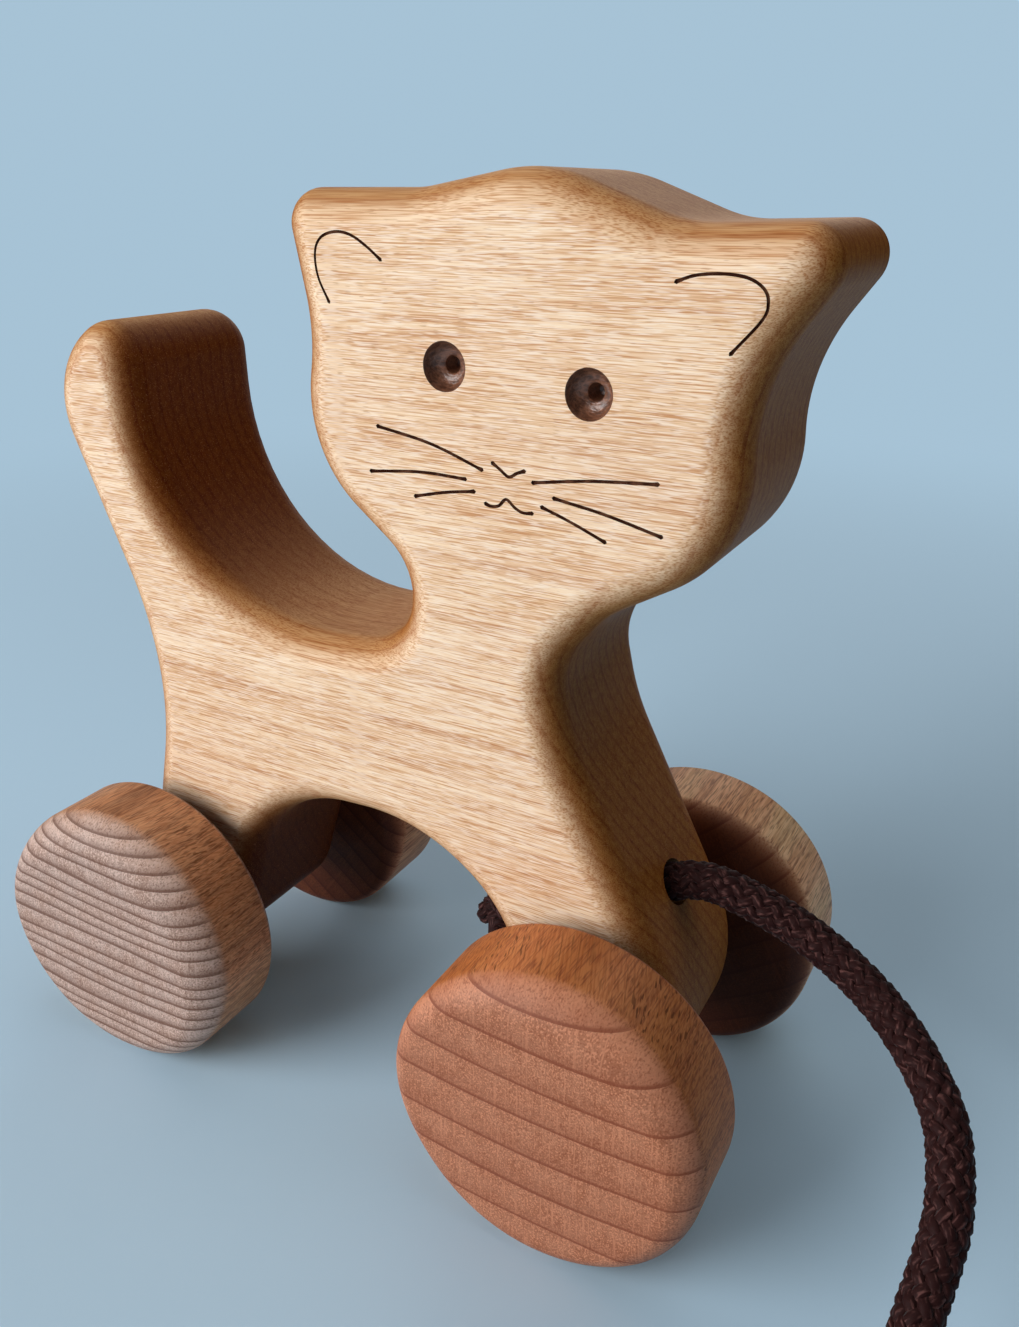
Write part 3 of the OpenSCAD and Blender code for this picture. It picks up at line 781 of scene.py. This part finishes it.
class PULLCAT_OT_tie(bpy.types.Operator):
    """Winds a few turns of twine round the coil."""

    bl_idname = "pull_cat.tie"
    bl_label = "Coil tie"

    def execute(self, context):
        look = cord(context)
        twine = spun_yarn("Jute twine, twisted", look.twine, paler(look.twine, 1.25), 0.2)
        turns, power = 3, 6
        from_middle, height, wide, tall, drift = 24.3, 3.75, 8.3, 3.15, 1.35
        u = np.linspace(0, 2 * math.pi * turns, 60 * turns)
        out = np.array([math.cos(TIE_ANGLE), math.sin(TIE_ANGLE), 0.0])
        sideways = np.array([-out[1], out[0], 0.0])
        # A rounded rectangle: its two coordinates over its half sizes, to this power, add up to 1
        near = (np.abs(np.cos(u)) ** power + np.abs(np.sin(u)) ** power) ** (-1 / power)
        aside = np.linspace(-drift, drift, len(u))
        shares = [wide * near * np.cos(u), aside, tall * near * np.sin(u)]
        axes = np.stack([out, sideways, [0.0, 0.0, 1.0]])
        path = np.array([*COIL_MM, height]) + from_middle * out + np.stack(shares, axis=1) @ axes
        path = stations(path, 0.5) * MM
        thick = look.twine_thickness
        plies = helices(path, 0.25 * thick, 2, 2.6 * thick, 1, 0.0, 0.27 * thick, 0.25 * thick, 8)
        piece("twine_tie", tubes("twine_tie", plies, [twine]), "cat", "twine", "coil_tie")
        return {"FINISHED"}


# Body


def outline_edges():
    """Corner points, roundings, edge angles, turns and mitres of the outline, as whole arrays.

    A rounding takes its radius times the tangent of half the turn from each of its two edges. Where
    an edge is too short for its two roundings, both shrink. A tip keeps its rounding.
    """
    place, radius = OUTLINE_MM[:, :2], OUTLINE_MM[:, 2]
    run = np.roll(place, -1, axis=0) - place
    angle = np.arctan2(run[:, 1], run[:, 0])
    before = np.roll(angle, 1)
    turn = (angle - before + math.pi) % (2 * math.pi) - math.pi
    tip = (turn < 0) & (radius < TIP_MM)
    slope = np.tan(np.abs(turn) / 2)
    ridge = np.where(tip, TIP_MM * slope, 0)
    tangent = np.where(tip, 0, radius * slope)
    spare = np.linalg.norm(run, axis=1) - ridge - np.roll(ridge, -1) - SPARE_MM
    share = spare / (tangent + np.roll(tangent, -1))
    radius = radius * np.where(tip, 1, np.minimum(1, np.minimum(share, np.roll(share, 1))))
    out = np.stack([-np.sin(angle), np.cos(angle)], axis=1)
    back = np.roll(out, 1, axis=0)
    mitre = (out + back) / (1 + (out * back).sum(axis=1, keepdims=True))
    return place, -np.sign(turn) * radius, before, turn, mitre


def inset_outline(inset, steps=18):
    """The outline moved inwards by inset millimetres.

    Each corner is an arc of steps facets, whose radius shrinks or grows with the inset. The radius
    of a tip r shrinks as s ln(1 + exp(r / s)), where s is its softness, so it never reaches zero.
    """
    place, rounding, before, turn, mitre = outline_edges()
    left = rounding - inset
    soft = TIP_SOFTNESS_MM * np.log1p(np.exp(np.clip(left / TIP_SOFTNESS_MM, -30, 30)))
    tip = (rounding > 0) & (rounding < TIP_MM)
    radius = np.where(tip, soft, left)[:, None, None]
    middle = place[:, None] - mitre[:, None] * (inset + radius)
    a = (before + math.pi / 2)[:, None] + turn[:, None] * np.linspace(0, 1, steps + 1)
    return (middle + radius * np.stack([np.cos(a), np.sin(a)], axis=-1)).reshape(-1, 2)


def board_rings():
    """Rings of the board from the face to the far side, in metres: quarter circles of insets."""
    a = np.radians(np.linspace(0, 90, 13))
    inset, depth = ROUND_OVER_MM * (1 - np.sin(a)), ROUND_OVER_MM * (1 - np.cos(a))
    across = np.concatenate([depth - BOARD_MM / 2, (BOARD_MM / 2 - depth)[::-1]])
    flat = np.stack([inset_outline(i) for i in np.concatenate([inset, inset[::-1]])])
    y = np.broadcast_to(across[:, None], flat.shape[:2])
    return np.stack([flat[..., 0], y, flat[..., 1]], axis=-1) * MM


def face_y(flat):
    """Y of the face at points in X and Z, in millimetres: level, but a quarter circle at edges."""
    edge = inset_outline(0.0, steps=8)
    run = np.roll(edge, -1, axis=0) - edge
    t = np.clip(((flat[:, None] - edge) * run).sum(-1) / (run * run).sum(-1).clip(1e-9), 0, 1)
    off = np.linalg.norm(flat[:, None] - edge - t[..., None] * run, axis=-1).min(axis=1)
    short = np.clip(ROUND_OVER_MM - off, 0, ROUND_OVER_MM)
    return -BOARD_MM / 2 + ROUND_OVER_MM - np.sqrt(ROUND_OVER_MM**2 - short**2)


def burnt_line(points, width, depth, seed):
    """A round-ended cutter along a drawn line, in metres: it swells at the ends, as burns do.

    Its section is the circle through a line's two edges and its lowest point.
    """
    rough, swollen, stretch, step, sides = 0.035, 0.45, 0.55, 0.2, 10
    flat = smooth_path(np.array(points, float), step)
    run = unit(np.gradient(flat, axis=0))
    along = distance(flat)
    left = along[-1] - along
    wobble = np.random.default_rng(seed).normal(0, rough, len(flat))
    stops = np.exp(-((along / stretch) ** 2)) + np.exp(-((left / stretch) ** 2))
    swell = 1 + swollen * stops + np.convolve(wobble, np.ones(3) / 3, "same")
    short = (1 - np.minimum(along, left) / (0.6 * width)).clip(0)
    ball = np.sqrt(np.clip(1 - short**2, 0.02, 1))
    radius = (width**2 / 4 + depth**2) / (2 * depth) * swell * ball
    turn = 2 * math.pi * np.arange(sides) / sides
    sideways = np.stack([run[:, 1], -run[:, 0]], axis=1)
    spot = flat[:, None] + (radius[:, None] * np.cos(turn))[..., None] * sideways[:, None]
    level = face_y(flat) - (width**2 / 4 - depth**2) / (2 * depth)
    y = level[:, None] + radius[:, None] * np.sin(turn)
    return np.stack([spot[..., 0], y, spot[..., 1]], axis=-1) * MM


def turned_rings(profile, sides):
    """Rings of a profile of radius and height, turned about Z."""
    turn = 2 * math.pi * np.arange(sides) / sides
    radius, height = np.array(profile, float).T[..., None]
    rings = np.broadcast_arrays(radius * np.cos(turn), radius * np.sin(turn), height)
    return np.stack(rings, axis=-1)


def along_y(rings):
    """Rings turned about Z, laid down so that they run along Y."""
    return rings[..., [0, 2, 1]] * [1, 1, -1]


def cut_away(name, body, cutters):
    """The body's mesh less the cutters' meshes; cut faces take the cutters' materials."""
    scene = bpy.context.scene.collection.objects
    made = [bpy.data.objects.new(name, mesh) for mesh in (body, *cutters)]
    for found in made:
        scene.link(found)
    for cutter in made[1:]:
        cut = made[0].modifiers.new("cut", "BOOLEAN")
        cut.operation, cut.solver, cut.material_mode = "DIFFERENCE", "EXACT", "TRANSFER"
        cut.object = cutter
    bpy.context.view_layer.update()
    finished = made[0].evaluated_get(bpy.context.evaluated_depsgraph_get())
    mesh = bpy.data.meshes.new_from_object(finished)
    for found in made:
        bpy.data.objects.remove(found)
    mesh.name = name
    return mesh


class PULLCAT_OT_body(bpy.types.Operator):
    """Lofts the sawn and rounded body, bores it and burns its face."""

    bl_idname = "pull_cat.body"
    bl_label = "Body"

    def execute(self, context):
        look = wood(context)
        birch, charred, drilled = oiled_birch(look), charred_wood(look), drilled_wood(look)
        board = loft("board", board_rings(), [birch])
        cutters = []
        for number, points in enumerate(FACE_LINES_MM):
            wider = 1.0 if number < EAR_ARCS else look.whisker_share
            width, depth = wider * look.line_width / MM, look.line_depth / MM
            cutters.append(loft("line", burnt_line(points, width, depth, number), [charred]))
        for x, z in EYES_MM:
            rings = along_y(turned_rings(EYE_MM, 48)) + [x, -BOARD_MM / 2, z]
            cutters.append(loft("eye", rings * MM, [drilled]))
        bore, half, past, sides = AXLE_BORE_MM / 2, HOLE_MM / 2, 25.0, 64
        for x, z in AXLES_MM.values():
            drill = turned_rings([(bore, -BOARD_MM), (bore, BOARD_MM)], sides)
            rings = along_y(drill) + [x, 0, z]
            cutters.append(loft("axle_bore", rings * MM, [birch]))
        across = np.array([-math.sin(HOLE_TILT), 0, math.cos(HOLE_TILT)])
        axes = np.stack([np.array([0.0, 1.0, 0.0]), across, HOLE_AXIS])
        rings = HOLE_MIDDLE_MM + turned_rings([(half, -past), (half, past)], sides) @ axes
        cutters.append(loft("cord_hole", rings * MM, [birch]))
        mesh = cut_away("sawn_body", board, cutters)
        mesh.set_sharp_from_angle(angle=SHARP)
        found = piece("sawn_body", mesh, "cat", "body_wood", "cat_body")
        found.modifiers.new("flat faces stay flat", "WEIGHTED_NORMAL").keep_sharp = True
        return {"FINISHED"}


# Wheels and axles


def wheel_rings(side, rim_mm, lead, seed):
    """A turned wheel about the Y axis, in millimetres, with a blind socket inside.

    A rim is nearly a quarter circle, a little flatter: sine and cosine to the power 1.2. On the
    toy's drawn side its size is rim_mm times one plus slow waves round the wheel, largest where the
    hand sanded most: lead degrees from the top towards the front. The other rim is crisp.
    """
    around, half, inner, outer, socket, deep = 160, 20.0, 15.5, 29.5, 4.05, 9.0
    hub, lip, shoulder, flat = 0.5, 0.3, 0.6, 9.0
    crisp_mm, power, flatter = 1.7, 1.2, 0.85
    draw = np.random.default_rng(seed)
    turn = 2 * math.pi * np.arange(around) / around
    waves = 0.45 * np.cos(turn + side * math.radians(90 - lead))
    for number, height in ((2, 0.15), (3, 0.08), (5, 0.04)):
        waves = waves + height * np.cos(number * turn + draw.uniform(0, 2 * math.pi))
    worn, crisp = rim_mm * (1 + waves), np.full(around, crisp_mm)
    first, last = (worn, crisp) if side > 0 else (crisp, worn)
    a = np.radians(np.linspace(0, 90, 11))
    gone, left = 1 - np.sin(a)[:, None] ** power, 1 - np.cos(a)[:, None] ** power

    def level(*values):
        return np.outer(values, np.ones(around))

    radius = np.vstack([
        level(hub, socket, socket, socket + lip), half - first * gone, half - last * left,
        half - last - shoulder, level(flat, hub),
    ])
    y = np.vstack([
        level(inner + deep, inner + deep, inner, inner), inner + flatter * first * left,
        outer - flatter * last * gone, level(outer, outer, outer),
    ])
    return np.stack([radius * np.cos(turn), side * y, -side * radius * np.sin(turn)], axis=-1)


class PULLCAT_OT_wheels(bpy.types.Operator):
    """Turns the four wheels and gives the two axles their finish."""

    bl_idname = "pull_cat.wheels"
    bl_label = "Wheels and axles"

    def execute(self, context):
        look = wheels(context)
        red = (look.red_face, look.red_line, look.red_tread)
        tan = (look.red_face, look.red_line, look.grey_tread)
        grey = (look.grey_face, look.grey_line, look.grey_tread)
        brown = (look.brown_face, look.red_line, look.pale_tread)
        # Tones, rim over the usual and where it was sanded most, then the numbers of turned_beech
        for number, (end, side, tones, rim, lead, *rings) in enumerate(
            (
                ("front", "right", red, 1.1, 30.0, 5.2, 0.35, 130.0, 2.5, 0.0, -20.0, 0.85),
                ("rear", "right", grey, 1.35, 50.0, 2.05, 0.6, 400.0, 4.6, 0.0, 17.0, 0.6),
                ("front", "left", brown, 1.1, 10.0, 3.6, 0.35, 120.0, 3.0, -30.0, 0.0, 0.2),
                ("rear", "left", tan, 1.1, 0.0, 3.1, 0.5, -260.0, 3.0, 35.0, 0.0, 0.6),
            )
        ):
            node = f"{end}_{side}_wheel"
            x, z = AXLES_MM[end]
            centre = np.array([x, 0.0, z]) * MM
            out = 1 if side == "left" else -1
            name = f"Beech, turned and oiled, {end} {side}"
            beech = turned_beech(name, look, *tones, centre, out, *rings)
            points = wheel_rings(out, rim * look.rim / MM, lead, number) * MM + centre
            mesh = loft(node + "_turned", points, [beech])
            mesh.set_sharp_from_angle(angle=SHARP)
            piece(node + "_turned", mesh, end + "_wheels", "wheel_wood", node)
        dowel = plain_dowel(wood(context))
        for node in ("front_axle", "rear_axle"):
            data = frame["nodes"][node].data
            data.materials.clear()
            data.materials.append(dowel)
        return {"FINISHED"}


# Stage


class PULLCAT_OT_stage(bpy.types.Operator):
    """Lays a plain pale floor and sets a soft light from the left."""

    bl_idname = "pull_cat.stage"
    bl_label = "Stage"

    def execute(self, context):
        scene = context.scene
        scene.view_settings.view_transform = "Standard"
        pale_blue, bright = opaque(rgb("#C4E4FA")), 0.7
        rings = turned_rings([(0.02, -0.02), (3.0, -0.02), (3.0, 0.0), (0.6, 0.0), (0.02, 0.0)], 64)
        # Matt paper gives the eye one even pale tone without a gleam
        material, tree, shader = finish_named("Seamless paper, pale blue", roughness=0.9)
        shader.inputs["Base Color"].default_value = pale_blue
        floor = bpy.data.objects.new("floor", loft("floor", rings, [material]))
        scene.collection.objects.link(floor)
        # Away from the toy the camera sees the floor as bright as the backdrop
        where = add(tree, "ShaderNodeTexCoord").outputs["Object"]
        far = add(tree, "ShaderNodeVectorMath", {0: where}, operation="LENGTH").outputs["Value"]
        ray = add(tree, "ShaderNodeLightPath").outputs["Is Camera Ray"]
        glow = add(tree, "ShaderNodeEmission", {"Color": pale_blue, "Strength": bright}).outputs[0]
        both = {0: shown(tree, far, 0.16, 0.5, ray), 1: shader.outputs[0], 2: glow}
        mixed = add(tree, "ShaderNodeMixShader", both).outputs[0]
        tree.links.new(mixed, tree.nodes["Material Output"].inputs["Surface"])
        world = bpy.data.worlds.new("studio")
        world.use_nodes = True
        scene.world = world
        tree = world.node_tree
        tree.nodes.clear()
        both = {0: add(tree, "ShaderNodeLightPath").outputs["Is Camera Ray"]}
        for socket, tone, level in ((1, (1.0, 0.95, 0.88, 1.0), 0.015), (2, pale_blue, bright)):
            sky = {"Color": tone, "Strength": level}
            both[socket] = add(tree, "ShaderNodeBackground", sky).outputs[0]
        mixed = add(tree, "ShaderNodeMixShader", both).outputs[0]
        add(tree, "ShaderNodeOutputWorld", {"Surface": mixed})
        for name, where, size, power in (
            ("window_softbox", (-0.58, -0.78, 0.38), 0.8, 12.6),
            ("ceiling_softbox", (0.3, 0.25, 1.0), 1.1, 3.3),
            ("rear_softbox", (-0.35, 0.9, 0.5), 0.8, 2.0),
        ):
            lamp = bpy.data.lights.new(name, "AREA")
            lamp.size, lamp.energy = size, power
            light = bpy.data.objects.new(name, lamp)
            back = unit(np.array(where) - [0.0, 0.0, TOY_MIDDLE])
            right = unit(np.cross([0.0, 0.0, 1.0], back))
            axes = Matrix((right, np.cross(back, right), back)).transposed()
            light.matrix_world = Matrix.Translation(where) @ axes.to_4x4()
            scene.collection.objects.link(light)
        return {"FINISHED"}


class PULLCAT_PT_panel(bpy.types.Panel):
    """Lists the pieces of the toy with their sizes and colours."""

    bl_idname = "PULLCAT_PT_panel"
    bl_label = "Pull-along cat"
    bl_space_type = "VIEW_3D"
    bl_region_type = "UI"
    bl_category = "Pull cat"

    def draw(self, context):
        for group in GROUPS:
            for key in group.__annotations__:
                self.layout.prop(getattr(context.scene, GROUPS[group]), key)
        for operator in OPERATORS:
            self.layout.operator(operator.bl_idname)


GROUPS = {
    PullCatWood: "pull_cat_wood",
    PullCatWheels: "pull_cat_wheels",
    PullCatCord: "pull_cat_cord",
}
OPERATORS = (
    PULLCAT_OT_camera,
    PULLCAT_OT_cord,
    PULLCAT_OT_tie,
    PULLCAT_OT_body,
    PULLCAT_OT_wheels,
    PULLCAT_OT_stage,
)


def register():
    for group, name in GROUPS.items():
        bpy.utils.register_class(group)
        setattr(bpy.types.Scene, name, bpy.props.PointerProperty(type=group))
    for kind in (*OPERATORS, PULLCAT_PT_panel):
        bpy.utils.register_class(kind)


def unregister():
    for kind in (PULLCAT_PT_panel, *reversed(OPERATORS)):
        bpy.utils.unregister_class(kind)
    for group, name in GROUPS.items():
        delattr(bpy.types.Scene, name)
        bpy.utils.unregister_class(group)


def main():
    register()
    for operator in OPERATORS:
        group, name = operator.bl_idname.split(".")
        getattr(getattr(bpy.ops, group), name)()


if __name__ == "__main__":
    main()
